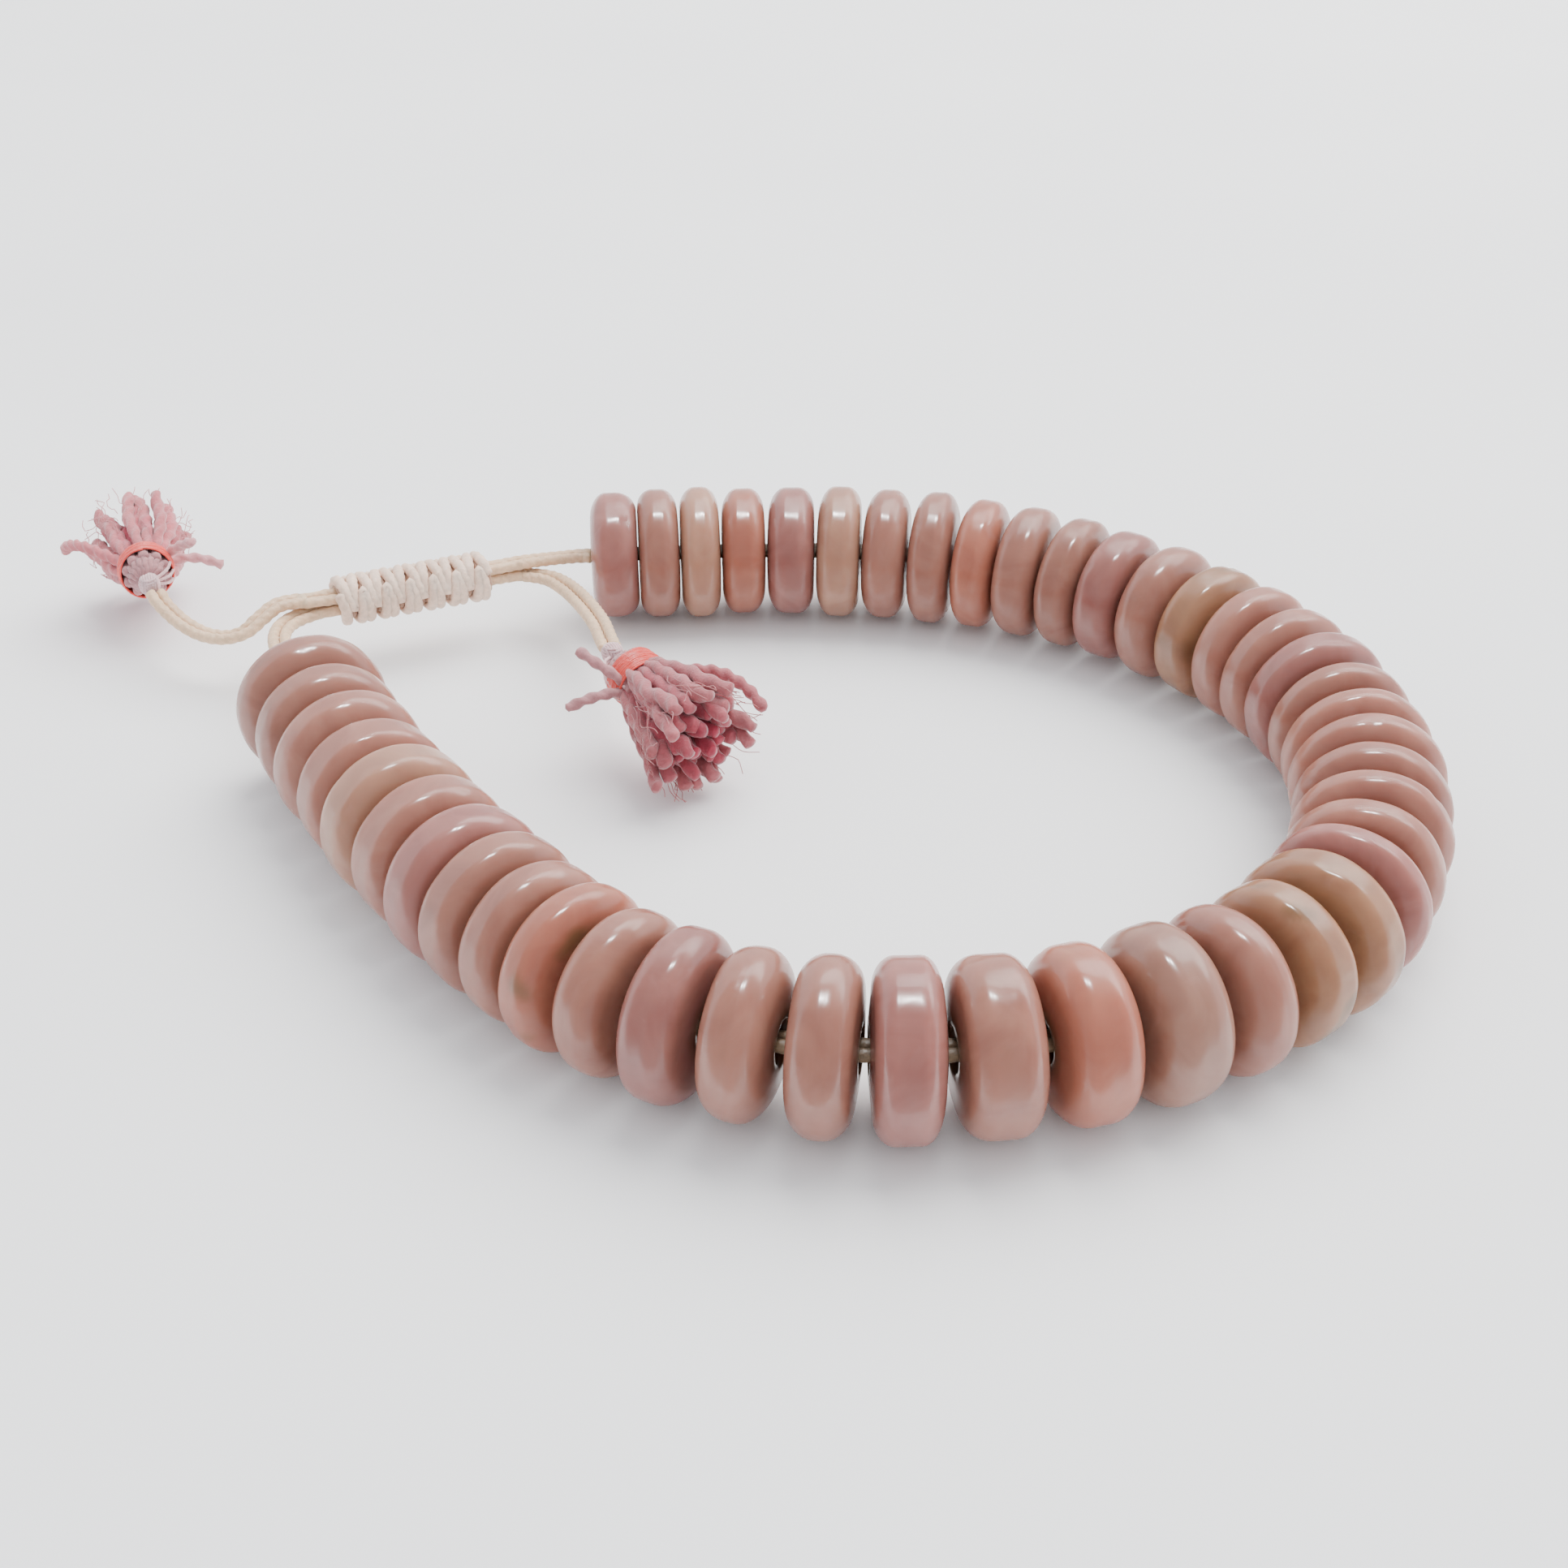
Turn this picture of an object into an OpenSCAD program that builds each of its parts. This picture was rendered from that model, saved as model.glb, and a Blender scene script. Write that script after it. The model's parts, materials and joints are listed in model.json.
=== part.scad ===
// A wrist mala: rondelle beads of tumbled pink quartz, packed side by side on a doubled cord.
// The two ends of the cord overlap in a sliding knot, and each ends in a small yarn tassel.
// It lies flat, so every bead stands on its rim. Z is up and the beads touch z = 0.

/* [Beads] */
// Usual diameter of a bead
bead_d = 10; // [8:0.1:14]
// Usual thickness of a bead, along the string
bead_t = 3.6; // [3:0.1:6]
// Rounding radius of a bead's rim
bead_edge = 1.2; // [0.4:0.1:1.6]
// Diameter of the hole through a bead
hole_d = 2.4; // [2.2:0.1:3.6]
// Least gap between two neighbouring beads
bead_gap = 0.08; // [0.05:0.01:0.3]
// Direction of the string at the first bead, in degrees from +X
start_heading = 5; // [-20:1:30]

/* [Cord] */
// Diameter of one of the two strands that make the doubled cord
strand_d = 0.85; // [0.6:0.05:1.1]
// Gap between the two doubled cords where one lies on the other
cord_gap = 0.1; // [0.1:0.05:0.4]

/* [Sliding knot] */
// Length of the knot along the cords
knot_len = 12; // [8:0.5:20]
// Thickness of the knot's wall of wrapped cord
knot_wall = 0.65; // [0.5:0.05:1.5]
// Clearance between the knot and the cords that run through it
knot_clear = 0.12; // [0.1:0.02:0.4]
// Number of humps along the knot
knot_humps = 8; // [4:1:12]
// Length of cord from the first bead to the knot
knot_lead = 8; // [5:0.5:14]
// Straight stretch of cord outside the first and the last bead
lead_out = 1.2; // [0.8:0.1:2]
// How far the cord from the last bead and the cord from the knot each run on before they meet
join_bow = 6; // [3:0.5:9]
// Direction of the knot from its left end to its right end, in degrees from +X
knot_heading = 23; // [0:1:45]

/* [Tassels] */
// Diameter of the wound thread that ties a tassel to its cord
tie_d = 1.6; // [1.2:0.1:2.4]
// Clearance around the wound thread
tie_gap = 0.15; // [0.1:0.05:0.3]
// Diameter of the tassel's head, and of its neck under the wrap
head_d = 3.2; // [2.4:0.1:4.4]
// Length of the rounded head
head_len = 1.6; // [1:0.1:3]
// Length of the thread wrap around the neck
wrap_len = 1.9; // [1:0.1:3]
// Thickness of the thread wrap
wrap_t = 0.45; // [0.3:0.05:0.8]
// Length of the skirt of yarn below the wrap
skirt_len = 8.1; // [5:0.1:14]
// Diameter of the skirt at its cut ends
skirt_d = 9.2; // [6:0.1:14]
// Slope of a lying tassel, head up, in degrees
tassel_slope = 7; // [0:1:20]
// Direction of the tassel inside the loop, in degrees from +X
right_heading = -56; // [-75:1:-15]
// Direction of the tassel outside the loop, in degrees from +X
left_heading = 110; // [75:1:135]

/* [Hidden] */
$fn = 48;
cord_sides = 8;

// Each bead's thickness and diameter, in percent of the usual ones
t_pct = [
    100, 86, 84, 92, 100, 92, 94, 90, 90, 90, 90, 94, 104, 100, 90,
    88, 90, 82, 80, 80, 82, 80, 80, 82, 96, 94, 98, 118, 114, 118,
    106, 98, 98, 92, 84, 84, 88, 96, 106, 108, 110, 110, 110, 110, 112];
d_pct = [
    97, 101, 102, 98, 99, 102, 101, 102, 99, 100, 98, 97, 100, 98, 99,
    100, 101, 98, 99, 101, 99, 100, 98, 101, 102, 98, 99, 102, 101, 100,
    102, 101, 97, 100, 98, 101, 99, 101, 102, 99, 101, 98, 100, 99, 103];
// Turn of the string at each gap between two beads, in degrees to the right
turns = [
    0, 1, 2, 3, 3, 4, 5, 6, 6, 7, 6, 7, 7, 7, 7,
    7, 8, 8, 7, 6, 6, 7, 8, 8, 9, 8, 8, 7, 9, 8,
    9, 9, 9, 9, 7, 4, 3, 2, 2, 2, 2, 2, 2, 2];
// Each bead's tint, as a place in the list of stone colours
tint = [
    1, 0, 3, 2, 1, 3, 0, 0, 2, 0, 0, 1, 0, 4, 0,
    0, 1, 0, 0, 0, 0, 0, 0, 1, 4, 4, 0, 5, 2, 0,
    1, 0, 0, 1, 0, 2, 0, 0, 1, 0, 3, 0, 0, 0, 0];
stone = [
    [0.72, 0.55, 0.53], [0.69, 0.52, 0.54], [0.77, 0.50, 0.43],
    [0.80, 0.65, 0.60], [0.68, 0.55, 0.46], [0.74, 0.63, 0.60]];
ivory = [0.86, 0.80, 0.70];
peach = [0.93, 0.83, 0.76];
coral = [0.92, 0.45, 0.42];
rose = [0.72, 0.45, 0.48];
pale_pink = [0.92, 0.78, 0.78];

bead_count = len(t_pct);
hole_r = hole_d / 2;
axis_z = bead_d * max(d_pct) / 200;

function bead_r(i) = bead_d * d_pct[i] / 200;
function bead_half(i) = bead_t * t_pct[i] / 200;
function edge_r(i) = min(bead_edge, 0.9 * bead_half(i));

// How much thicker a side of a bead is at the hole than at its rim: as full as the turn beside it allows
function crown(i, turn) = (bead_r(i) - edge_r(i) - hole_r) * tan(turn / 2);
// Along the string from a bead's middle to the bend beside it, so that its rim clears its neighbour's
function half_run(i, turn) =
    bead_half(i) - edge_r(i)
    + ((bead_r(i) - edge_r(i)) * sin(turn / 2) + edge_r(i) + bead_gap / 2) / cos(turn / 2);
function turn_before(i) = i > 0 ? turns[i - 1] : 0;
function turn_after(i) = i < bead_count - 1 ? turns[i] : 0;
function run(i) = half_run(i, turn_before(i)) + half_run(i, turn_after(i));
function along(heading) = [cos(heading), sin(heading), 0];

headings = [for (i = 0, h = start_heading; i < bead_count; h = h - turn_after(i), i = i + 1) h];
// The string's bends, one before each bead and one after the last, from the first bead's outer face
bends = [for (i = 0, p = [0, 0, 0]; i <= bead_count;
              p = i < bead_count ? p + run(i) * along(headings[i]) : p, i = i + 1) p];
centres = [for (i = [0 : bead_count - 1])
    bends[i] + half_run(i, turn_before(i)) * along(headings[i])];

// The doubled cord: two strands side by side
cord_w = 2 * strand_d;
cord_t = strand_d;
lay = (cord_t + cord_gap) / 2;

// The knot's slot holds two doubled cords, one on the other
slot_w = cord_w + 2 * knot_clear;
slot_h = 2 * lay + cord_t + 2 * knot_clear;
knot_w = slot_w + 2 * knot_wall;
knot_h = slot_h + 2 * knot_wall;
knot_centre = -(knot_lead + knot_len / 2) * along(knot_heading);

// The lying object's middle, from the reach of each bead and of the knot
function reach(i, direction) =
    abs(cos(direction - headings[i])) * (bead_half(i) - edge_r(i))
    + abs(sin(direction - headings[i])) * (bead_r(i) - edge_r(i)) + edge_r(i);
function knot_reach(direction) =
    abs(cos(direction - knot_heading)) * knot_len / 2 + abs(sin(direction - knot_heading)) * knot_w / 2;
function high(axis) = max(concat([knot_centre[axis] + knot_reach(90 * axis)],
    [for (i = [0 : bead_count - 1]) centres[i][axis] + reach(i, 90 * axis)]));
function low(axis) = min(concat([knot_centre[axis] - knot_reach(90 * axis)],
    [for (i = [0 : bead_count - 1]) centres[i][axis] - reach(i, 90 * axis)]));
middle = [(high(0) + low(0)) / 2, (high(1) + low(1)) / 2, -axis_z];

function turned(p, heading) =
    [p.x * cos(heading) - p.y * sin(heading), p.x * sin(heading) + p.y * cos(heading), p.z];
function from_knot(p) = knot_centre - middle + turned(p, knot_heading);
function from_left_end(p) = from_knot([p.x - knot_len / 2, p.y, p.z]);
function from_right_end(p) = from_knot([p.x + knot_len / 2, p.y, p.z]);

// A lying tassel's heights and stations along its own axis
head_start = tie_d / 2 + tie_gap;
wrap_start = head_start + head_len;
skirt_start = wrap_start + wrap_len;
tassel_len = skirt_start + skirt_len;
head_z = tassel_len * sin(tassel_slope) + skirt_d / 2 * cos(tassel_slope) - axis_z;

// Routes of the free cords, beside the knot's ends: x along the knot, y across it, z from the string
left_route = [
    [-1, 0, lay], [-2.5, 0, 0.6], [-4.2, -0.1, 0.6], [-5.6, -0.5, 0], [-6.9, -0.8, -0.7],
    [-8.3, -0.3, -1.1], [-9.7, 0.9, -1.1], [-10.9, 2.6, -0.7], [-11.8, 4.4, 0]];
right_route = [
    [1.2, 0, -lay], [2.9, -0.5, -lay], [4.1, -1.7, -0.4], [4.6, -3.6, -0.2], [4.8, -6.2, 0.1],
    [4.8, -9.2, 0.4], [4.6, -12.2, 0.7], [4.2, -14.8, 0.9]];
left_pivot = from_left_end([-12.4, 6.4, head_z]);
right_pivot = from_right_end([3.9, -17.3, head_z]);

function unit(v) = v / norm(v);
function short_of(end, before) = end + head_start * unit(before - end);
string_route = [for (p = bends) p - middle];
string_out = string_route[bead_count] + lead_out * along(headings[bead_count - 1]);
// A smooth curve from a to d that sets out towards b and arrives from c
function between(a, b, c, d, t) =
    pow(1 - t, 3) * a + 3 * t * pow(1 - t, 2) * b + 3 * t * t * (1 - t) * c + t * t * t * d;
join_steps = 8;
join_points = [for (k = [0 : join_steps]) between(
    string_out, string_out + join_bow * along(headings[bead_count - 1]),
    from_left_end([-join_bow, 0, -lay]), from_left_end([0, 0, -lay]), k / join_steps)];
left_points = concat(
    [string_route[0], string_route[0] - lead_out * along(start_heading)],
    [from_right_end([3, 0, lay]), from_right_end([0, 0, lay])],
    [for (p = left_route) from_left_end(p)]);
right_points = concat(
    [string_route[bead_count]], join_points,
    [for (p = right_route) from_right_end(p)]);

// A flat tube swept along a route, with one ring of points at each of the route's points
function tangent(route, i) =
    unit(route[min(i + 1, len(route) - 1)] - route[max(i - 1, 0)]);
function ring(centre, ahead) =
    let (side = unit(cross([0, 0, 1], ahead)), above = cross(ahead, side))
    [for (k = [0 : cord_sides - 1])
        centre + cord_w / 2 * cos(360 * k / cord_sides) * side
        + cord_t / 2 * sin(360 * k / cord_sides) * above];
module cord(route) {
    last = len(route) - 1;
    points = [for (i = [0 : last]) each ring(route[i], tangent(route, i))];
    walls = [for (i = [0 : last - 1], k = [0 : cord_sides - 1])
        let (a = i * cord_sides + k, b = i * cord_sides + (k + 1) % cord_sides)
        [a, a + cord_sides, b + cord_sides, b]];
    ends = [
        [for (k = [0 : cord_sides - 1]) k],
        [for (k = [cord_sides - 1 : -1 : 0]) last * cord_sides + k]];
    color(ivory) polyhedron(points, concat(walls, ends));
}

// A rounded disc with slightly conical sides and a straight hole, standing on its rim
module bead(i) {
    r = bead_r(i);
    half = bead_half(i);
    e = edge_r(i);
    color(stone[tint[i]])
    translate(centres[i] - middle)
    rotate([0, 90, headings[i]])
    rotate_extrude() {
        polygon([
            [hole_r, -half - crown(i, turn_before(i))], [r - e, -half],
            [r - e, half], [hole_r, half + crown(i, turn_after(i))]]);
        translate([hole_r, e - half]) square([r - hole_r, 2 * (half - e)]);
        for (y = [e - half, half - e]) translate([r - e, y]) circle(e);
    }
}

module string_cord() cord(string_route);
module left_tail_cord() cord(concat(left_points, [short_of(left_pivot, left_points[len(left_points) - 1])]));
module right_tail_cord() cord(concat(right_points, [short_of(right_pivot, right_points[len(right_points) - 1])]));

// A rectangle with round corners, built from circles and squares
module rounded_rectangle(w, h, r) {
    square([w - 2 * r, h], center = true);
    square([w, h - 2 * r], center = true);
    for (x = [r - w / 2, w / 2 - r], y = [r - h / 2, h / 2 - r]) translate([x, y]) circle(r);
}

// A sleeve of square knots with one flat slot through it: each hump is one knot
module sliding_knot() {
    pitch = knot_len / knot_humps;
    color(peach)
    translate(from_knot([0, 0, 0]))
    rotate([90, 0, knot_heading + 90])
    translate([0, 0, -knot_len / 2])
    for (k = [0 : knot_humps - 1]) translate([0, 0, k * pitch]) {
        linear_extrude(pitch) knot_section(0.15);
        translate([0, 0, pitch / 6]) linear_extrude(pitch * 2 / 3) knot_section(0);
    }
}
module knot_section(inset) difference() {
    rounded_rectangle(knot_w - 2 * inset, knot_h - 2 * inset, knot_wall);
    square([slot_w, slot_h], center = true);
}

// Thread wound both ways over the cord's end, so that the tassel swings about one and lifts about the other
module tie_thread(pivot, heading) color(pale_pink) translate(pivot) rotate([0, 0, heading])
    intersection() {
        cylinder(d = tie_d, h = 2 * tie_d, center = true);
        rotate([90, 0, 0]) cylinder(d = tie_d, h = 2 * tie_d, center = true);
    }

// A tassel's own axis is +X, from the middle of its tie to the cut ends of the yarn
module on_tassel_axis(pivot, heading) translate(pivot) rotate([0, tassel_slope, heading])
    rotate([0, 90, 0]) children();

module tassel_head() color(rose) rotate_extrude() {
    intersection() {
        translate([0, head_start + head_d / 2]) circle(d = head_d);
        translate([0, head_start]) square([head_d / 2, head_len]);
    }
    translate([0, head_start + head_len / 2]) square([head_d / 2 - wrap_t, skirt_start - head_start - head_len / 2]);
}

module neck_wrap() color(coral) translate([0, 0, wrap_start]) rotate_extrude()
    translate([head_d / 2 - wrap_t, 0]) square([2 * wrap_t, wrap_len]);

module tassel_skirt() color(rose) translate([0, 0, skirt_start]) rotate_extrude()
    polygon([
        [0, 0], [head_d / 2, 0], [head_d / 2 + 0.3 * (skirt_d - head_d) / 2, skirt_len * 0.15],
        [head_d / 2 + 0.8 * (skirt_d - head_d) / 2, skirt_len * 0.65], [skirt_d / 2, skirt_len], [0, skirt_len]]);

two_digits = [for (i = [1 : bead_count]) str(i < 10 ? "0" : "", i)];
bead_names = [for (digits = two_digits) str("bead_", digits)];

for (i = [0 : bead_count - 1]) bead(i);
string_cord();
left_tail_cord();
right_tail_cord();
sliding_knot();
tie_thread(left_pivot, left_heading);  // left_tie_thread
on_tassel_axis(left_pivot, left_heading) tassel_head();  // left_tassel_head
on_tassel_axis(left_pivot, left_heading) neck_wrap();  // left_neck_wrap
on_tassel_axis(left_pivot, left_heading) tassel_skirt();  // left_tassel_skirt
tie_thread(right_pivot, right_heading);  // right_tie_thread
on_tassel_axis(right_pivot, right_heading) tassel_head();  // right_tassel_head
on_tassel_axis(right_pivot, right_heading) neck_wrap();  // right_neck_wrap
on_tassel_axis(right_pivot, right_heading) tassel_skirt();  // right_tassel_skirt
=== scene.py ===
"""A wrist mala of rose quartz beads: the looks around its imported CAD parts, in metres."""

import json
import math
import random

import bpy
import numpy as np
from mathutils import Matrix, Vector, geometry, noise


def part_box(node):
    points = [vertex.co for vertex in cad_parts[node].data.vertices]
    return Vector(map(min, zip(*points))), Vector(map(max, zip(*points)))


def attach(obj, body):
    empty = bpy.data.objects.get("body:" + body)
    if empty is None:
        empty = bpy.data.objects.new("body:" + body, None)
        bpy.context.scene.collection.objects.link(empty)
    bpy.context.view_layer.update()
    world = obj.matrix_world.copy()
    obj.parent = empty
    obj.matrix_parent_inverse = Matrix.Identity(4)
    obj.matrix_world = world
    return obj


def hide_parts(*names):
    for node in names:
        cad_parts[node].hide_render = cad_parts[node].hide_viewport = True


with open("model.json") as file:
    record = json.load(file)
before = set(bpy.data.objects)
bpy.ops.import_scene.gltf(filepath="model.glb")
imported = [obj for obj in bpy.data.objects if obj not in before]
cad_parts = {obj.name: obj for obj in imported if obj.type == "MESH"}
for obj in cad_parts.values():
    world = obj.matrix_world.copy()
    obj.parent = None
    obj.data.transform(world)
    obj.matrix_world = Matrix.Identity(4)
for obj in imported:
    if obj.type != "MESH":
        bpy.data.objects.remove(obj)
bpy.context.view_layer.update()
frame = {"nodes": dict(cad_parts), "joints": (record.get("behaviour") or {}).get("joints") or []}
joints = {j["name"]: j for j in frame["joints"]}
UP = np.array([0.0, 0.0, 1.0])
MM = 0.001


# ---------------------------------------------------------------- shapes

def unit(v):
    return np.asarray(v, float) / np.linalg.norm(v)


def turned(v, axis, angle):
    """v turned about a unit axis."""
    c, s = math.cos(angle), math.sin(angle)
    return v * c + np.cross(axis, v) * s + axis * np.dot(axis, v) * (1 - c)


def measured(node, origin, axis):
    """Where a CAD node starts and ends along an axis, and its least and greatest distance from it."""
    co = np.array([v.co for v in frame["nodes"][node].data.vertices], float) - origin
    along = co @ axis
    away = np.linalg.norm(co - np.outer(along, axis), axis=1)
    return along.min(), along.max(), away.min(), away.max()


def box_centre(node):
    low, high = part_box(node)
    return np.array((low + high) / 2)


def smooth(points, step):
    """A Catmull-Rom curve through points, sampled about every step."""
    p = [np.asarray(q, float) for q in points]
    p = [2 * p[0] - p[1]] + p + [2 * p[-1] - p[-2]]
    out = []
    for a, b, c, d in zip(p, p[1:], p[2:], p[3:]):
        n = max(1, round(np.linalg.norm(c - b) / step))
        for k in range(n):
            t = k / n
            out.append(0.5 * (2 * b + (c - a) * t + (2 * a - 5 * b + 4 * c - d) * t * t
                              + (3 * b - a - 3 * c + d) * t ** 3))
    out.append(p[-2])
    return np.array(out)


def tangents(path):
    ahead = np.gradient(path, axis=0)
    return ahead / np.linalg.norm(ahead, axis=1)[:, None]


def lengths(path):
    """The distance from a path's start to each of its points."""
    return np.concatenate([[0.0], np.cumsum(np.linalg.norm(np.diff(path, axis=0), axis=1))])


class Shape:
    """Points, faces and point colours of one piece, gathered part by part."""

    def __init__(self):
        self.points, self.faces, self.colours, self.count = [], [], [], 0

    def add(self, points, faces, colour=(1, 1, 1)):
        self.points.append(np.asarray(points, float))
        self.faces.extend(tuple(self.count + k for k in f) for f in faces)
        colour = np.asarray(colour, float)
        self.colours.append(np.broadcast_to(colour, (len(points), 3)))
        self.count += len(points)

    def tube(self, path, radius, sides=12, plies=0, depth=0.0, lay=1.0, start=0.0, colour=(1, 1, 1),
             blunt=0.35):
        """A round thread along a path. plies and depth give it twisted plies, one turn for each lay metres."""
        path = np.asarray(path, float)
        ahead = tangents(path)
        side = np.cross(UP, ahead[0])
        if np.linalg.norm(side) < 1e-3:
            side = np.cross([1.0, 0, 0], ahead[0])
        side = unit(side)
        radius = np.broadcast_to(radius, len(path))
        angle = np.arange(sides) * 2 * math.pi / sides
        run = lengths(path)
        rings = []
        for p, t, r, s in zip(path, ahead, radius, run):
            side = unit(side - t * np.dot(side, t))
            above = np.cross(t, side)
            swell = 1 + depth * (np.cos(plies * (angle - start - 2 * math.pi * s / lay)) - 1)
            rings.append(p + (r * swell * np.cos(angle))[:, None] * side
                         + (r * swell * np.sin(angle))[:, None] * above)
        n = len(path)
        points = np.concatenate(rings + [[path[0] - ahead[0] * radius[0] * blunt],
                                         [path[-1] + ahead[-1] * radius[-1] * blunt]])
        faces = []
        for i in range(n - 1):
            for k in range(sides):
                a, b = i * sides + k, i * sides + (k + 1) % sides
                faces.append((a, b, b + sides, a + sides))
        for k in range(sides):
            faces.append((n * sides, (k + 1) % sides, k))
            faces.append((n * sides + 1, (n - 1) * sides + k, (n - 1) * sides + (k + 1) % sides))
        self.add(points, faces, colour)

    def piece(self, name, material, body=None):
        mesh = bpy.data.meshes.new(name)
        mesh.from_pydata(np.concatenate(self.points).tolist(), [], self.faces)
        mesh.polygons.foreach_set("use_smooth", [True] * len(mesh.polygons))
        colour = mesh.color_attributes.new("tint", "FLOAT_COLOR", "POINT")
        rgba = np.ones((self.count, 4), np.float32)
        rgba[:, :3] = np.concatenate(self.colours)
        colour.data.foreach_set("color", rgba.ravel())
        mesh.materials.append(material)
        mesh.update()
        obj = bpy.data.objects.new(name, mesh)
        bpy.context.scene.collection.objects.link(obj)
        if body:
            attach(obj, body)
        return obj


# ---------------------------------------------------------------- materials

class Nodes:
    """A material's nodes, made and linked in short calls."""

    def __init__(self, name):
        self.material = bpy.data.materials.new(name)
        self.material.use_nodes = True
        self.tree = self.material.node_tree
        self.shader = next(n for n in self.tree.nodes if n.type == "BSDF_PRINCIPLED")
        self.place = self.tree.nodes.new("ShaderNodeTexCoord").outputs["Object"]

    def node(self, kind, links=(), **values):
        made = self.tree.nodes.new("ShaderNode" + kind)
        for key, value in values.items():
            if hasattr(made, key):
                setattr(made, key, value)
            else:
                made.inputs[key.replace("_", " ")].default_value = value
        for socket, source in dict(links).items():
            self.tree.links.new(source, made.inputs[socket])
        return made

    def noise(self, scale, detail=2.0, distortion=0.0, roughness=0.5):
        return self.node("TexNoise", {"Vector": self.place}, Scale=scale, Detail=detail,
                         Distortion=distortion, Roughness=roughness).outputs[0]

    def ramp(self, source, *stops):
        made = self.node("ValToRGB", {0: source})
        ramp = made.color_ramp
        while len(ramp.elements) < len(stops):
            ramp.elements.new(0.5)
        for element, (at, colour) in zip(ramp.elements, stops):
            element.position = at
            element.color = (*colour, 1) if hasattr(colour, "__len__") else (colour, colour, colour, 1)
        return made.outputs["Color"]

    def mix(self, factor, a, b, blend="MIX"):
        made = self.tree.nodes.new("ShaderNodeMix")
        made.data_type, made.blend_type = "RGBA", blend
        for socket, value in ((0, factor), (6, a), (7, b)):
            if hasattr(value, "links"):
                self.tree.links.new(value, made.inputs[socket])
            else:
                made.inputs[socket].default_value = value
        return made.outputs[2]

    def tint(self):
        return self.node("Attribute", attribute_name="tint").outputs["Color"]

    def finish(self, colour, roughness=None, bump=None, bump_size=0.0001, **values):
        self.tree.links.new(colour, self.shader.inputs["Base Color"])
        if roughness is not None:
            self.tree.links.new(roughness, self.shader.inputs["Roughness"])
        if bump is not None:
            made = self.node("Bump", {"Height": bump}, Distance=bump_size, Strength=1.0)
            self.tree.links.new(made.outputs["Normal"], self.shader.inputs["Normal"])
        for key, value in values.items():
            self.shader.inputs[key.replace("_", " ")].default_value = value
        return self.material


def rose_quartz():
    m = Nodes("rose_quartz")
    clouds = m.ramp(m.noise(260, 3, 1.2), (0.32, (0.82, 0.78, 0.79)), (0.68, (1.0, 1.03, 1.03)))
    veins = m.ramp(m.noise(420, 4, 1.0), (0.62, 0.0), (0.85, 0.2))
    colour = m.mix(1.0, m.tint(), clouds, "MULTIPLY")
    colour = m.mix(veins, colour, (0.44, 0.24, 0.21, 1))
    rough = m.ramp(m.noise(900, 3), (0.35, 0.16), (0.75, 0.26))
    return m.finish(colour, rough, m.noise(420, 2), 0.00003, Subsurface_Weight=0.9,
                    Subsurface_Radius=(1.0, 0.62, 0.55), Subsurface_Scale=0.0034, IOR=1.54,
                    Specular_IOR_Level=0.16, Transmission_Weight=0.06)


def thread(name, sheen, rough, light, scale=2600):
    """Spun fibre: its own tint, flecked lighter and darker, with a soft sheen."""
    m = Nodes(name)
    fleck = m.ramp(m.noise(scale, 3, 0.3), (0.3, (0.78, 0.78, 0.78)), (0.7, (1.0, 1.0, 1.0)))
    shade = m.ramp(m.noise(scale / 9, 2), (0.35, (0.88, 0.86, 0.84)), (0.65, (1.0, 1.0, 1.0)))
    colour = m.mix(1.0, m.mix(1.0, m.tint(), fleck, "MULTIPLY"), shade, "MULTIPLY")
    roughness = m.ramp(m.noise(scale / 3, 2), (0.3, rough - 0.08), (0.7, rough + 0.08))
    return m.finish(colour, roughness, m.noise(scale * 2, 3), 0.00006, Sheen_Weight=sheen,
                    Sheen_Roughness=0.45, Subsurface_Weight=light, Subsurface_Scale=0.0004,
                    Subsurface_Radius=(1.0, 0.7, 0.6))


QUARTZ = rose_quartz()
CORD = thread("waxed_cord", 0.15, 0.55, 0.25)
KNOT = thread("knot_cord", 0.2, 0.6, 0.3)
YARN = thread("rose_yarn", 0.45, 0.85, 0.3, 3000)
CORAL = thread("coral_thread", 0.2, 0.32, 0.2)
TIE = thread("tie_thread", 0.35, 0.7, 0.35)

IVORY = (0.82, 0.57, 0.37)
# The string's cord, painted darker brown where it shows between the beads: partly grime, partly painted shade of
# the grooves between them
CORD_GRIME_AND_SHADE = (0.36, 0.23, 0.13)
PEACH = (0.95, 0.71, 0.57)
# The knot cord painted darker as shade, for the winding that lies under the knot's strands
PEACH_PAINTED_SHADE = (0.46, 0.27, 0.18)


# ---------------------------------------------------------------- camera

view = bpy.data.cameras.new("camera")
view.lens, view.sensor_width, view.clip_start, view.clip_end = 46.58, 36, 0.005, 10
camera = bpy.data.objects.new("camera", view)
camera.location = (-0.00256, -0.11325, 0.07441)
camera.rotation_euler = (math.radians(90 - 32.325), 0, 0)
bpy.context.scene.collection.objects.link(camera)
bpy.context.scene.camera = camera


# ---------------------------------------------------------------- cords

BEADS = sorted(n for n in frame["nodes"] if n.startswith("bead_"))
centres = {b: np.array(joints[b + "_spin"]["pos_m"], float) for b in BEADS}
axes = {b: unit(joints[b + "_spin"]["axis"]) for b in BEADS}
sizes = {b: measured(b, centres[b], axes[b]) for b in BEADS}
FIRST, LAST = BEADS[0], BEADS[-1]

knot_axis = unit(joints["knot_slide"]["axis"])
knot_across = np.cross(UP, knot_axis)
knot_middle = box_centre("sliding_knot")
knot_low, knot_high = measured("sliding_knot", knot_middle, knot_axis)[:2]


def beside_knot(end, points):
    """Points in millimetres along, across and above the string's height, from one end of the knot."""
    start = knot_middle + knot_axis * end
    return [start + MM * (x * knot_axis + y * knot_across + z * UP) for x, y, z in points]


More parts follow.
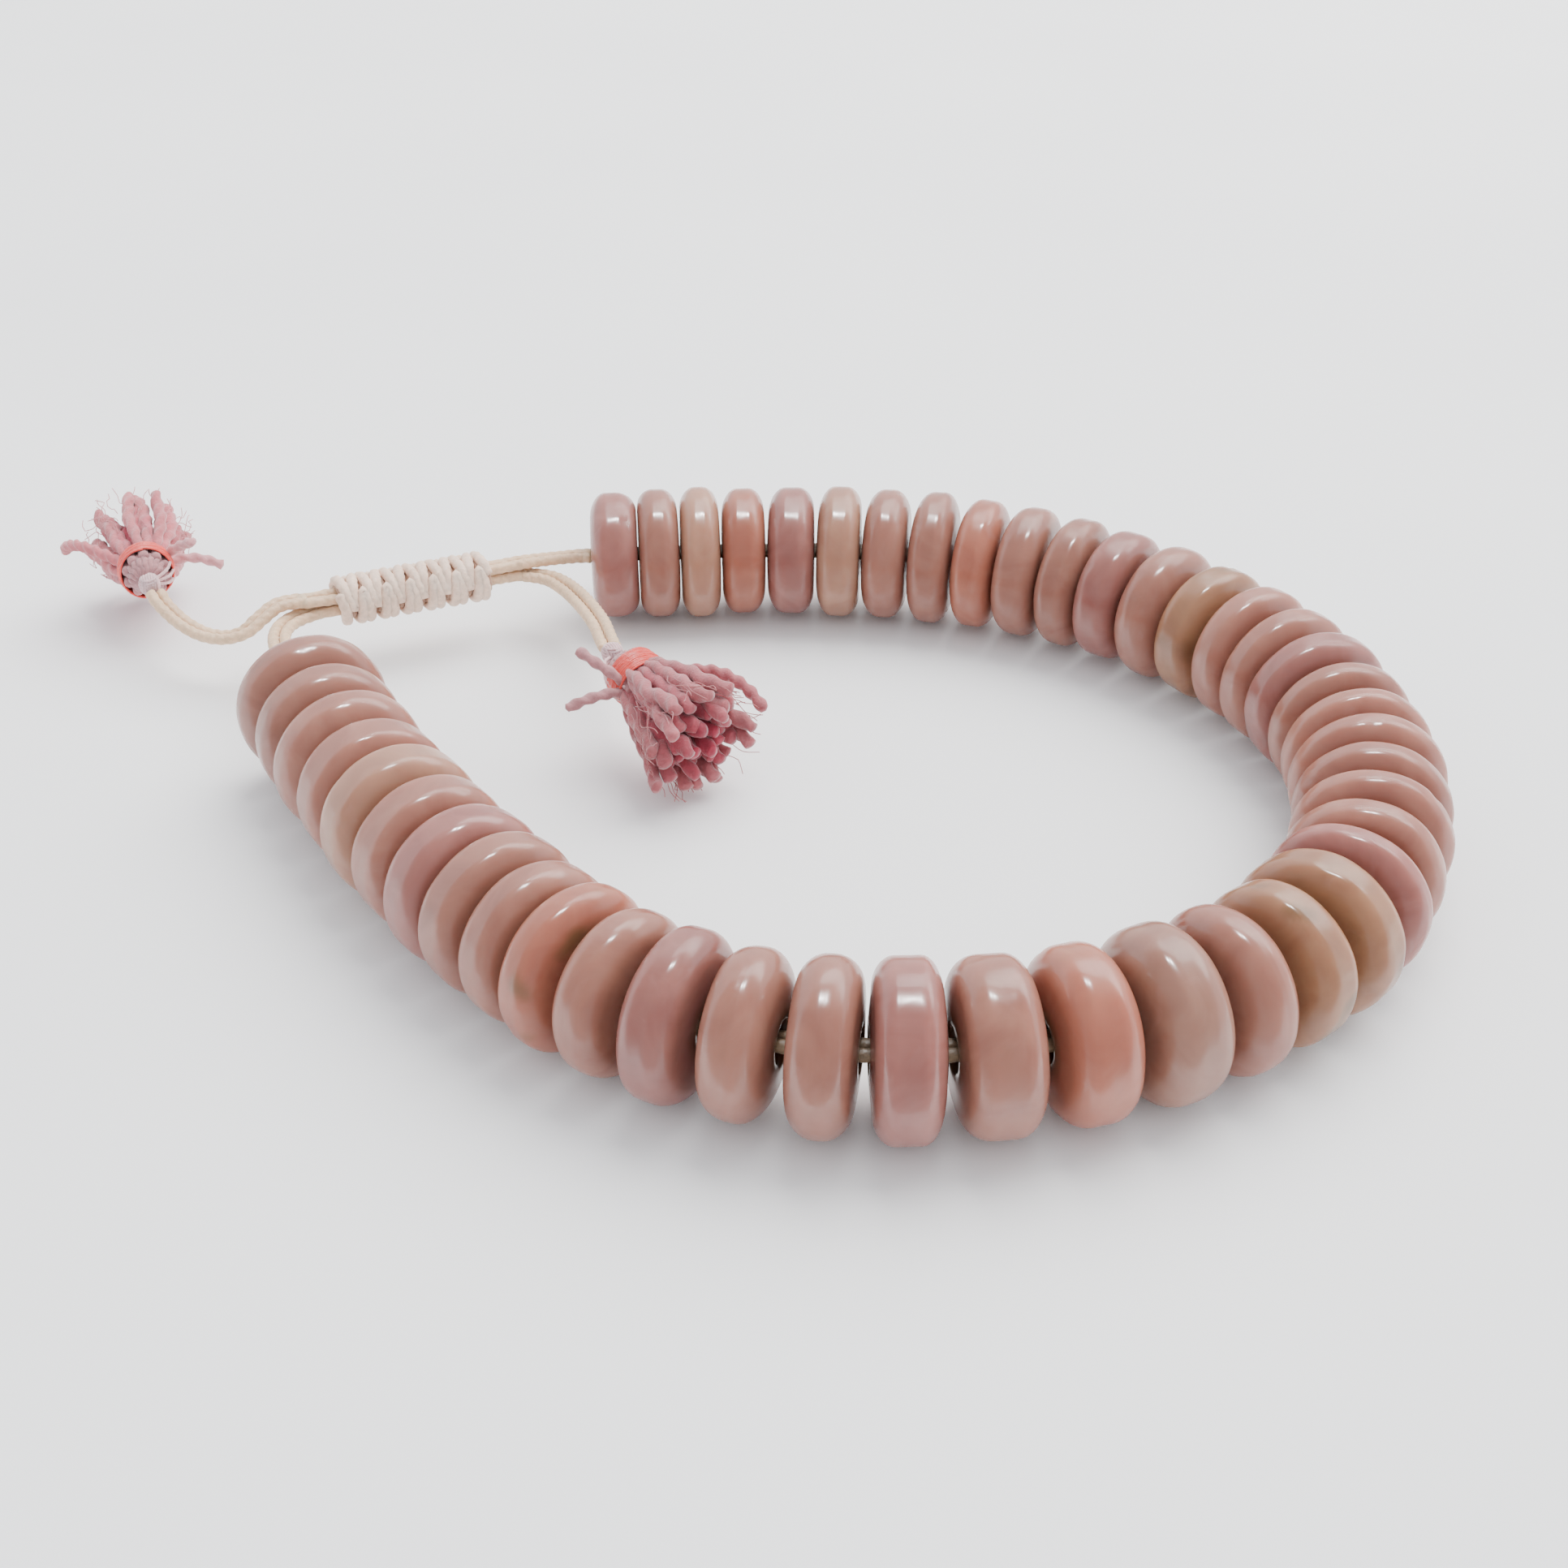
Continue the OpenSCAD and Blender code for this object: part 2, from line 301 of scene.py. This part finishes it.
def bend(a, b):
    """Where the string bends between two neighbouring beads."""
    near = geometry.intersect_line_line(
        Vector(centres[a]), Vector(centres[a] + axes[a]), Vector(centres[b]), Vector(centres[b] + axes[b]))
    if near is None:
        return 0.5 * (centres[a] + axes[a] * sizes[a][1] + centres[b] - axes[b] * sizes[b][1])
    return np.array(near[0])


# Clearance between the string's ends and the faces of the first and last bead
GAP = 0.00004
string_start = centres[FIRST] - axes[FIRST] * (sizes[FIRST][1] + GAP)
string_end = centres[LAST] + axes[LAST] * (sizes[LAST][1] + GAP)
string_points = [string_start, *[bend(a, b) for a, b in zip(BEADS, BEADS[1:])], string_end]

# The cords' routes, as the CAD source has them: lay and routes in millimetres, the rest in metres
LAY = 0.475
LEAD_OUT = 0.0012
JOIN_BOW = 0.006
LEFT_ROUTE = [(-1, 0, LAY), (-2.5, 0, 0.6), (-4.2, -0.1, 0.6), (-5.6, -0.5, 0), (-6.9, -0.8, -0.7),
              (-8.3, -0.3, -1.1), (-9.7, 0.9, -1.1), (-10.9, 2.6, -0.7), (-11.8, 4.4, 0)]
RIGHT_ROUTE = [(1.2, 0, -LAY), (2.9, -0.5, -LAY), (4.1, -1.7, -0.4), (4.6, -3.6, -0.2), (4.8, -6.2, 0.1),
               (4.8, -9.2, 0.4), (4.6, -12.2, 0.7), (4.2, -14.8, 0.9)]


def between(a, b, c, d, t):
    return (1 - t) ** 3 * a + 3 * t * (1 - t) ** 2 * b + 3 * t * t * (1 - t) * c + t ** 3 * d


def short_of(pivot, before):
    return pivot + MM * 0.95 * unit(before - pivot)


pivots = {s: np.array(joints[s + "_tassel_lift"]["pos_m"], float) for s in ("left", "right")}
left_points = [string_start, string_start - axes[FIRST] * LEAD_OUT,
               *beside_knot(knot_high, [(3, 0, LAY), (0, 0, LAY)]), *beside_knot(knot_low, LEFT_ROUTE)]
left_points.append(short_of(pivots["left"], left_points[-1]))
out = string_end + axes[LAST] * LEAD_OUT
joint_in, joint_out = beside_knot(knot_low, [(-1000 * JOIN_BOW, 0, -LAY), (0, 0, -LAY)])
right_points = [string_end, *[between(out, out + axes[LAST] * JOIN_BOW, joint_in, joint_out, k / 8)
                              for k in range(9)], *beside_knot(knot_high, RIGHT_ROUTE)]
right_points.append(short_of(pivots["right"], right_points[-1]))

# Diameter of one of the cord's two strands
STRAND = 0.00085


def doubled(name, points, step, sides, seed, roll=0.0, colour=IVORY):
    """A doubled cord: two twisted strands side by side along a smooth route."""
    path = smooth(points, step)
    ahead = tangents(path)
    run = lengths(path)
    shape = Shape()
    wander = [0.25 * noise.noise(Vector((seed, s * 160, 0.5))) + roll * math.sin(s * 210 + seed) for s in run]
    for hand in (-1, 1):
        line = []
        for p, t, w in zip(path, ahead, wander):
            side = unit(np.cross(UP, t))
            line.append(p + hand * STRAND * 0.48 * turned(side, t, w))
        shape.tube(line, STRAND / 2, sides, plies=3, depth=0.07, lay=0.0022, start=hand, colour=colour)
    return shape.piece(name, CORD, "string"), path, run[-1]


# The string is drawn in the darker brown: painted shade in the grooves between beads, with some grime
string, _, _ = doubled("string_strands", string_points, 0.0005, 12, 3.0, colour=CORD_GRIME_AND_SHADE)
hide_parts("string_cord")
for side, points, seed in (("left", left_points, 7.0), ("right", right_points, 12.0)):
    doubled(side + "_tail_strands", points, 0.00016, 18, seed, 0.2)
    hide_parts(side + "_tail_cord")


# ---------------------------------------------------------------- beads

ROSE = (0.322, 0.144, 0.106)
MAUVE = (0.304, 0.126, 0.106)
SALMON = (0.368, 0.135, 0.090)
CREAM = (0.396, 0.209, 0.140)
OLIVE = (0.304, 0.153, 0.086)
CLEAR = (0.331, 0.172, 0.126)
# Brown of the stains, also used for the painted shade in the holes and between the beads
BROWN = np.array((0.16, 0.085, 0.04))
# Radius of the CAD bead's rounded edge
EDGE = 0.0012
TINTS = {4: SALMON, 9: SALMON, 29: SALMON, 36: SALMON, 3: CREAM, 6: CREAM, 41: CREAM,
         1: MAUVE, 5: MAUVE, 24: MAUVE, 31: MAUVE, 34: MAUVE, 39: MAUVE, 14: OLIVE, 25: OLIVE,
         26: OLIVE, 28: CLEAR, 12: MAUVE, 17: MAUVE}
# How far the rim's rounding reaches along the bead, as a share of its half thickness
RIMS = {31: 0.55, 32: 1.0, 29: 0.75, 30: 0.7, 28: 0.8, 25: 0.65, 27: 0.85, 33: 0.95}


def rim_half(name):
    """How far a bead's rim reaches each way along the string: less than its sides do beside the hole."""
    co = np.array([v.co for v in frame["nodes"][name].data.vertices], float) - centres[name]
    along = co @ axes[name]
    away = np.linalg.norm(co - np.outer(along, axes[name]), axis=1)
    outer = along[away > sizes[name][3] - EDGE - 0.0001]
    return min(-outer.min(), outer.max())


def bead(index, name):
    rand = random.Random(1000 + index)
    low, high, hole, radius = sizes[name]
    centre, axis = centres[name], axes[name]
    side = np.cross(UP, axis)
    around = 112
    reach = RIMS.get(index, rand.uniform(0.55, 0.85))
    half = rim_half(name)
    # No corner is fuller than the CAD bead's rounded edge, so that beads turn clear of each other
    edge = min(EDGE, 0.9 * half)
    soft_a = [min(0.92 * half, max(edge, half * reach * rand.uniform(0.9, 1.1))) for _ in range(2)]
    soft_r = [MM * rand.uniform(1.3, 2.3) for _ in range(2)]
    power = 2 / rand.uniform(1.95, 2.0)
    profile = []
    for e, hand in ((0, -1), (1, 1)):
        full = (-low, high)[e]
        rows = [(0.35 * half, hole), (0.8 * half, hole), (full - 0.00012, hole * 1.03),
                (full - 0.00004, hole * 1.12)]
        rows += [(full + (half - full) * t, hole * 1.12 + (radius - soft_r[e] - hole * 1.12) * t)
                 for t in (0.2, 0.5, 0.8, 1.0)]
        for k in range(1, 10):
            t = math.radians(10 * k)
            rows.append((half - soft_a[e] + soft_a[e] * math.cos(t) ** power,
                         radius - soft_r[e] + soft_r[e] * math.sin(t) ** power))
        flat = half - soft_a[e]
        rows += [(flat * t, radius) for t in (0.66, 0.33)]
        rows = [(hand * a, r) for a, r in rows]
        profile += rows if hand < 0 else [(0.0, radius)] + rows[::-1]
    shift = Vector([rand.uniform(-50, 50) for _ in range(3)])
    # Flat spots left by the tumbling, and chips in the rim
    flats = []
    for _ in range(7):
        tilt, turn = rand.uniform(-0.5, 0.5), rand.uniform(0, 2 * math.pi)
        flats.append((np.array((math.sin(tilt), math.cos(tilt) * math.sin(turn), math.cos(tilt) * math.cos(turn))),
                      rand.uniform(0.955, 0.99)))
    chips = [(rand.choice((-1, 1)) * half * rand.uniform(0.4, 0.95), rand.uniform(0, 2 * math.pi),
              MM * rand.uniform(0.35, 0.8), MM * rand.uniform(0.06, 0.14)) for _ in range(3)]
    points = []
    for a, r in profile:
        for k in range(around):
            turn = 2 * math.pi * k / around
            p = np.array((a, r * math.sin(turn), r * math.cos(turn)))
            if r > hole * 1.1:
                bulge = noise.noise(Vector(p * 260) + shift) * 0.5 + noise.noise(Vector(p * 620) + shift) * 0.18
                share = min(1.0, (r - hole) / (radius - hole))
                p[1:] *= 1 - 0.034 * share * max(0.0, 0.5 - bulge)
                p[0] *= 1 - 0.012 * max(0.0, 0.5 - noise.noise(Vector(p * 330) - shift))
                for n, d in flats:
                    over = p @ n - d * radius * (abs(n[0]) * half / radius + math.hypot(n[1], n[2]))
                    if over > 0:
                        p -= n * over * 0.6
                for ca, ct, size, deep in chips:
                    c = np.array((ca, radius * math.sin(ct), radius * math.cos(ct)))
                    gap = np.linalg.norm(p - c) / size
                    if gap < 1:
                        p[1:] *= 1 - deep / radius * (1 - gap * gap) ** 2
            points.append(p)
    points = np.array(points)
    rows = len(profile)
    faces = []
    for i in range(rows):
        j = (i + 1) % rows
        for k in range(around):
            m = (k + 1) % around
            faces.append((i * around + k, i * around + m, j * around + m, j * around + k))
    # Tint: the bead's own, browner in the hole and in the crevice beside it: painted shade where the beads meet,
    # with some grime in the holes
    away = np.hypot(points[:, 1], points[:, 2])
    # Painted shade with some grime: darker near the hole, where the beads meet
    hole_grime_and_shade = np.clip((0.0021 - away) / 0.0008, 0, 1) * 0.8
    # Painted shade: the faces darken towards the neighbouring beads, in the crevice between them
    edge = np.clip((np.abs(points[:, 0]) / half - 0.86) / 0.14, 0, 1) * np.clip(away / radius - 0.5, 0, 1) * 0.8
    base = np.array(TINTS.get(index, ROSE)) * rand.uniform(0.92, 1.06)
    stain = np.array([max(0.0, noise.noise(Vector(p * 500) + shift * 2) - 0.30) for p in points])
    stain *= {25: 1.8, 26: 3.0, 36: 2.2, 14: 1.2}.get(index, 0.25)
    amount = np.clip(np.maximum(hole_grime_and_shade, edge) + stain, 0, 0.85)[:, None]
    colours = base * (1 - amount) + BROWN * amount
    world = centre + points[:, :1] * axis + points[:, 1:2] * side + points[:, 2:] * UP
    shape = Shape()
    shape.add(world, faces, colours)
    obj = shape.piece(name + "_stone", QUARTZ, name)
    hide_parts(name)


for index, name in enumerate(BEADS, 1):
    bead(index, name)


# ---------------------------------------------------------------- sliding knot

def sliding_knot():
    """Square knots tied around both cords: one strand zigzags over the front, the other behind."""
    length = knot_high - knot_low
    thick, count = 0.00086, 13
    pitch = length / (count + 0.6)
    wide, deep = 0.00135, 0.00128
    front, back = [], []
    for k in range(count):
        x, s = knot_low + (k + 0.45) * pitch, 1 if k % 2 else -1
        front += [(x - 0.18 * pitch, -s * (wide + 0.0001), 0.0), (x, -s * wide * 0.62, deep),
                  (x + 0.3 * pitch, s * wide * 0.5, deep * 1.04), (x + 0.45 * pitch, s * wide * 0.98, deep * 0.55)]
        back += [(x - 0.2 * pitch, s * (wide * 0.85), deep * 0.8), (x + 0.1 * pitch, s * (wide + 0.00022), 0.0),
                 (x + 0.25 * pitch, s * wide * 0.6, -deep), (x + 0.5 * pitch, -s * wide * 0.6, -deep * 1.02),
                 (x + 0.62 * pitch, -s * (wide + 0.0002), 0.0)]
    shape = Shape()
    for line, start in ((front, 0.0), (back, 1.0)):
        points = [knot_middle + a * knot_axis + b * knot_across + c * UP for a, b, c in line]
        shape.tube(smooth(points, 0.00016), thick / 2, 14, plies=3, depth=0.06, lay=0.002, start=start,
                   colour=PEACH)
    # The cord wound under them, which closes the sleeve, painted darker as shade under the strands
    turns, inner = 22, []
    for k in range(turns * 16 + 1):
        t = 2 * math.pi * k / 16
        x = knot_low + 0.0003 + (length - 0.0006) * k / (turns * 16)
        across, above = [math.copysign(abs(v) ** 0.8, v) for v in (math.cos(t), math.sin(t))]
        inner.append(knot_middle + x * knot_axis + 0.00108 * across * knot_across + 0.00104 * above * UP)
    shape.tube(inner, 0.00027, 8, colour=PEACH_PAINTED_SHADE)
    obj = shape.piece("sliding_knot_strands", KNOT, "knot")
    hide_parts("sliding_knot")


sliding_knot()


# ---------------------------------------------------------------- tassels

DUSTY = np.array((0.45, 0.125, 0.140))
# Painted shade: the skirt's inner yarns take this darker magenta, the outer ones dusty rose
INNER_YARN_SHADE = np.array((0.40, 0.035, 0.070))
MAUVE_YARN = np.array((0.50, 0.23, 0.245))
CORAL_TINT = (0.90, 0.080, 0.060)
PALE_PINK = (0.78, 0.50, 0.52)
# How much paler the left tassel is than the right
PALER = {"left": 1.35, "right": 1.0}
# How far a skirt yarn may lean to a side
SWAY = 0.0004


def lie_on(path, height, ease=0.0005):
    """A path eased up to a height wherever it would pass below it."""
    over = path[:, 2] - height
    path[:, 2] = height + 0.5 * (over + np.sqrt(over * over + ease * ease))
    return path


def tassel(side, seed):
    rand = random.Random(seed)
    pivot = pivots[side]
    axis = unit(box_centre(side + "_neck_wrap") - pivot)
    level = unit(np.cross(UP, axis))
    above = np.cross(axis, level)
    head = measured(side + "_tassel_head", pivot, axis)
    wrap = measured(side + "_neck_wrap", pivot, axis)
    skirt = measured(side + "_tassel_skirt", pivot, axis)
    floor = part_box(FIRST)[0].z

    def at(a, b, c):
        return pivot + a * axis + b * level + c * above

    # The skirt: plied yarns that leave the neck together and flare to their cut ends
    shape = Shape()
    count = 44
    for k in range(count):
        share = math.sqrt((k + 0.5) / count)
        angle = k * 2.39996 + rand.uniform(-0.2, 0.2)
        inner = share * (wrap[3] - 0.0004)
        outer = share * (skirt[3] - 0.0005) * rand.uniform(0.88, 1.0)
        length = (skirt[1] - skirt[0]) * rand.uniform(0.82, 1.04)
        sway = [rand.uniform(-1, 1) * SWAY for _ in range(4)]
        points = []
        wave = rand.uniform(-50, 50)
        for n in range(9):
            t = n / 8
            r = inner + (outer - inner) * (0.25 * t + 0.75 * t ** 0.75)
            a = angle + 0.25 * t * sway[0] / SWAY
            b = r * math.sin(a) + sway[1] * t * math.sin(4 * t)
            c = r * math.cos(a) + sway[2] * t
            b += 0.0005 * t * noise.noise(Vector((wave, 3 * t, 0)))
            c += 0.0005 * t * noise.noise(Vector((wave, 3 * t, 9)))
            points.append(at(skirt[0] - 0.0006 + (length + 0.0006) * t, b, c))
        path = lie_on(smooth(points, 0.00016), floor + 0.0004)
        # Painted shade: darker magenta towards the middle of the skirt, dusty rose outside
        colour = INNER_YARN_SHADE + (DUSTY - INNER_YARN_SHADE) * np.clip(share ** 2 * 1.25 + rand.uniform(-0.25, 0.15), 0, 1)
        thick = 0.00060 * rand.uniform(0.88, 1.1)
        swell = np.interp(lengths(path) / lengths(path)[-1], (0, 0.25, 0.88, 1), (0.5, 0.9, 1.0, 0.8))
        shape.tube(path, thick * swell, 14, plies=2, depth=0.13, lay=0.0036,
                   start=rand.uniform(0, 6), colour=colour * rand.uniform(0.88, 1.1) * PALER[side])
    # One yarn arches clear of the others
    arch = [at(wrap[1] + MM * a, MM * b, MM * c)
            for a, b, c in ((-0.3, 1.4, 0.5), (1.2, 3.0, 1.1), (2.8, 4.3, 1.4), (4.6, 5.2, 1.0), (6.4, 5.6, 0.2))]
    shape.tube(lie_on(smooth(arch, 0.00016), floor + 0.0005), 0.00048, 14, plies=2, depth=0.18, lay=0.0022,
               colour=DUSTY * PALER[side])
    # Loose fibres that stand off the yarns
    for k in range(50):
        angle, wave = rand.uniform(0, 2 * math.pi), rand.uniform(-50, 50)
        begin, end = rand.uniform(0.2, 0.7), rand.uniform(0.85, 1.02)
        points = []
        for n in range(7):
            t = begin + (end - begin) * n / 6
            r = (wrap[3] + (skirt[3] - wrap[3]) * t) * rand.uniform(0.9, 0.98)
            a = angle + 0.35 * noise.noise(Vector((wave, 4 * t, 0)))
            points.append(at(skirt[0] + (skirt[1] - skirt[0]) * t, r * math.sin(a), r * math.cos(a)))
        shape.tube(lie_on(smooth(points, 0.0004), floor + 0.0001), 0.00003, 5, colour=DUSTY * PALER[side])
    obj = shape.piece(side + "_skirt_yarns", YARN, side + "_tassel")
    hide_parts(side + "_tassel_skirt")

    # The head: the same yarns folded over the tie, and the neck that they make under the wrap
    shape = Shape()
    top = head[0]
    for k in range(9):
        angle = math.pi * k / 9
        points = []
        for n in range(13):
            t = math.pi * n / 12
            r = (head[3] - 0.0003) * math.cos(t)
            lift = (wrap[0] + 0.0004 - top - 0.00026 * (1 + 0.12 * (k % 3))) * math.sin(t) ** 0.8
            points.append(at(wrap[0] + 0.0004 - lift, r * math.sin(angle), r * math.cos(angle)))
        shape.tube(smooth(points, 0.00016), 0.0003, 12, plies=2, depth=0.15, lay=0.0016, start=k,
                   colour=MAUVE_YARN * rand.uniform(0.85, 1.05))
    for k in range(10):
        a = 2 * math.pi * k / 10
        r = wrap[3] - 0.00062
        shape.tube([at(wrap[0] - 0.0002 + (wrap[1] - wrap[0] + 0.0008) * n / 12, r * math.sin(a), r * math.cos(a))
                    for n in range(13)], 0.0004, 10, colour=MAUVE_YARN)
    # The tie thread runs on down one side of the head, and its two ends stand off the neck
    for k, turn in enumerate((-1.25, -1.6, -1.95)):
        r = head[3] + 0.0002
        points = [at(a, share * r * math.sin(turn), share * r * math.cos(turn))
                  for a, share in ((0.0004, 0.2), (top + 0.0002, 0.75), (wrap[0] - 0.0004, 1.0),
                                   (wrap[1] * 0.5 + wrap[0] * 0.5, 1.05 + 0.06 * k), (wrap[1] + 0.0002, 1.0))]
        shape.tube(smooth(points, 0.00016), 0.00013, 8, plies=2, depth=0.12, lay=0.0009, colour=PALE_PINK)
    for ends in (((0, -1.2, -0.2), (-0.1, -2.6, 0.2), (-0.4, -4.1, 0.1), (-0.9, -5.6, -0.5)),
                 ((0, -1.2, 0.3), (-0.7, -2.0, 1.1), (-1.8, -2.9, 1.8), (-3.0, -3.6, 2.3))):
        points = [at(wrap[1] + MM * a, MM * b, MM * c) for a, b, c in ends]
        shape.tube(smooth(points, 0.00016), 0.00042, 12, plies=2, depth=0.15, lay=0.0022,
                   colour=MAUVE_YARN * PALER[side])
    obj = shape.piece(side + "_head_yarns", YARN, side + "_tassel")
    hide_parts(side + "_tassel_head")

    # The wrap: one thread wound around the neck
    turns = 13
    fine = (wrap[1] - wrap[0]) / turns
    line = []
    for k in range(turns * 40 + 1):
        t = 2 * math.pi * k / 40
        r = wrap[3] - fine * 0.45 - 0.00005 * math.cos(2 * math.pi * k / (turns * 40)) + 0.00002 * math.sin(3.3 * t)
        line.append(at(wrap[0] + fine * 0.5 + (wrap[1] - wrap[0] - fine) * k / (turns * 40),
                       r * math.sin(t), r * math.cos(t)))
    shape = Shape()
    shape.tube(line, fine * 0.62, 10, plies=2, depth=0.08, lay=0.0009, colour=CORAL_TINT)
    obj = shape.piece(side + "_wrap_thread", CORAL, side + "_tassel")
    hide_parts(side + "_neck_wrap")

    # The tie: thin thread wound both ways over the cord's end
    shape = Shape()
    size = measured(side + "_tie_thread", pivot, axis)[1]
    flat = unit(np.array((axis[0], axis[1], 0)))
    across = np.cross(UP, flat)
    for u, v, w, turns in ((flat, UP, across, 7), (flat, across, UP, 6)):
        line = []
        for k in range(turns * 24 + 1):
            t = 2 * math.pi * k / 24
            x = (k / (turns * 24) - 0.5) * 1.5 * size
            r = math.sqrt(max(0.1, 1 - (x / size) ** 2 * 0.8)) * size - 0.0001
            line.append(pivot + r * (math.cos(t) * u + math.sin(t) * v) + x * w)
        shape.tube(line, 0.00011, 8, plies=2, depth=0.12, lay=0.0008, colour=PALE_PINK)
    obj = shape.piece(side + "_tie_windings", TIE, side + "_tie")
    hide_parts(side + "_tie_thread")


for side, seed in (("left", 5), ("right", 9)):
    tassel(side, seed)


# ---------------------------------------------------------------- stage and light

def floor_material():
    m = Nodes("pale_floor")
    colour = m.ramp(m.noise(14, 2), (0.3, (0.86, 0.86, 0.87)), (0.7, (0.90, 0.90, 0.905)))
    return m.finish(colour, Roughness=0.9, Specular_IOR_Level=0.2)


mesh = bpy.data.meshes.new("floor")
mesh.from_pydata([(-3, -3, -0.00002), (3, -3, -0.00002), (3, 3, -0.00002), (-3, 3, -0.00002)], [], [(0, 1, 2, 3)])
mesh.materials.append(floor_material())
floor = bpy.data.objects.new("floor", mesh)
bpy.context.scene.collection.objects.link(floor)


def lamp(name, place, size, power, colour=(1, 1, 1), mirrored=True, casts=True):
    """A round lamp turned to the object: mirrored is seen in gloss, casts lights and shades."""
    data = bpy.data.lights.new(name, "AREA")
    data.shape, data.size, data.energy, data.color = "DISK", size, power, colour
    obj = bpy.data.objects.new(name, data)
    obj.location = place
    obj.rotation_euler = (-Vector(place)).to_track_quat("-Z", "Y").to_euler()
    obj.visible_glossy = mirrored
    obj.visible_diffuse = casts
    bpy.context.scene.collection.objects.link(obj)


SPARK = 0.018
SPARK_POWER = 3.0
lamp("key", (0.30, 0.34, 0.66), 0.9, 14.0, (1.0, 0.99, 0.97), mirrored=False)
lamp("spark_a", (-0.035, 0.09, 0.55), SPARK, SPARK_POWER, casts=False)
lamp("spark_b", (0.035, 0.08, 0.55), SPARK, SPARK_POWER, casts=False)
world = bpy.data.worlds.new("soft")
world.use_nodes = True
world.node_tree.nodes["Background"].inputs["Color"].default_value = (0.93, 0.96, 1.0, 1)
world.node_tree.nodes["Background"].inputs["Strength"].default_value = 1.5
bpy.context.scene.world = world
